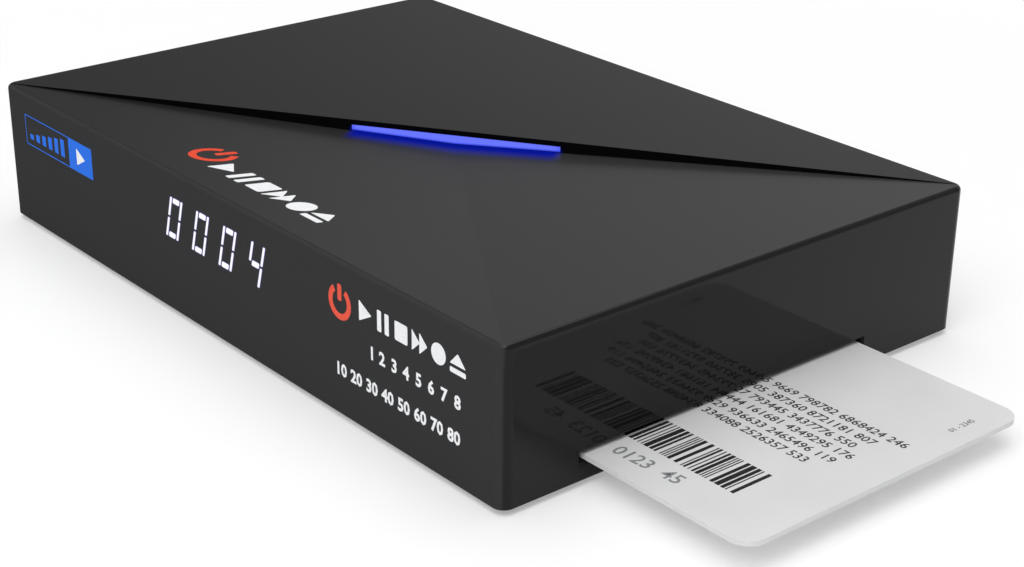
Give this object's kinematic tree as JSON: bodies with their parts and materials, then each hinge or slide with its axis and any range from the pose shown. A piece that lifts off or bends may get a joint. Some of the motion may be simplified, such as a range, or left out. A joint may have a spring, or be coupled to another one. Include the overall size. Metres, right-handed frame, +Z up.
{
  "type": "satellite tv receiver",
  "caption": "Low black satellite receiver with a folded roof, a lit light bar along the fold, a digit display on the front and a smart card that slides in at the side.",
  "frame": {"origin": "on the surface that the feet stand on, under the middle of the case", "axes": "+Z up; +X to the right seen from the front, through the wall with the card slot; +Y to the rear, through the sockets"},
  "size_m": [0.162, 0.0987, 0.0243],
  "materials": {
    "case_gloss": "black, satin roof, polished walls and riser",
    "tray_black": "black, fine spark texture",
    "panel_black": "black, fine spark texture",
    "foot_rubber": "matt",
    "screw_black": "blackened steel",
    "screw_steel": "zinc plated",
    "board_green": "solder mask over copper tracks",
    "reader_black": "moulded",
    "contact_gold": "gold plated",
    "card_white": "white laminated card with printed bars and rules",
    "guide_blue": "clear plastic lit blue",
    "lamp_body": "small lamp",
    "display_black": "grey-black filter face",
    "segment_white": "white lit segments",
    "eye_dark": "dark red-black moulding",
    "screen_can": "tinned sheet",
    "socket_nickel": "nickel plated",
    "insulator_white": "white insulator",
    "socket_black": "moulded",
    "chip_black": "moulded chip case",
    "thermal_grey": "soft pad",
    "sink_aluminium": "plain extruded",
    "coil_grey": "moulded ferrite",
    "cap_aluminium": "bare can"
  },
  "bodies": {
    "chassis": {"top_cover": "case_gloss", "bottom_tray": "tray_black", "rear_panel": "panel_black", "rubber_feet": "foot_rubber", "case_screws": "screw_black", "main_board": "board_green", "board_screws": "screw_steel", "card_reader_frame": "reader_black", "reader_contacts": "contact_gold", "light_guide": "guide_blue", "status_lamps": "lamp_body", "display_module": "display_black", "digit_segments": "segment_white", "display_board": "board_green", "display_header": "socket_black", "infrared_receiver": "eye_dark", "tuner_can": "screen_can", "tuner_lid": "screen_can", "aerial_socket": "socket_nickel", "aerial_insulator": "insulator_white", "network_socket": "socket_black", "network_contacts": "contact_gold", "screen_socket": "socket_nickel", "screen_socket_tongue": "socket_black", "data_socket": "socket_nickel", "data_socket_tongue": "insulator_white", "optical_socket": "socket_black", "sound_jack": "socket_black", "power_inlet": "socket_black", "power_inlet_pin": "socket_nickel", "processor": "chip_black", "thermal_pad": "thermal_grey", "heat_sink": "sink_aluminium", "memory_chips": "chip_black", "flash_chip": "chip_black", "power_coils": "coil_grey", "can_capacitors": "cap_aluminium", "clock_crystal": "screen_can"},
    "card": {"smart_card": "card_white", "card_chip": "contact_gold"},
    "door": {"optical_door": "socket_black"}
  },
  "joints": [
    {"name": "card_slide", "type": "slide", "parent": "chassis", "child": "card", "axis": [1, 0, 0], "range_m": [0, 0.058]},
    {"name": "optical_door_swing", "type": "hinge", "parent": "chassis", "child": "door", "pos_m": [0.025, 0.0426, 0.0167], "axis": [-1, 0, 0], "range_deg": [0, 80], "stiffness_Nm_per_rad": 0.0005}
  ]
}
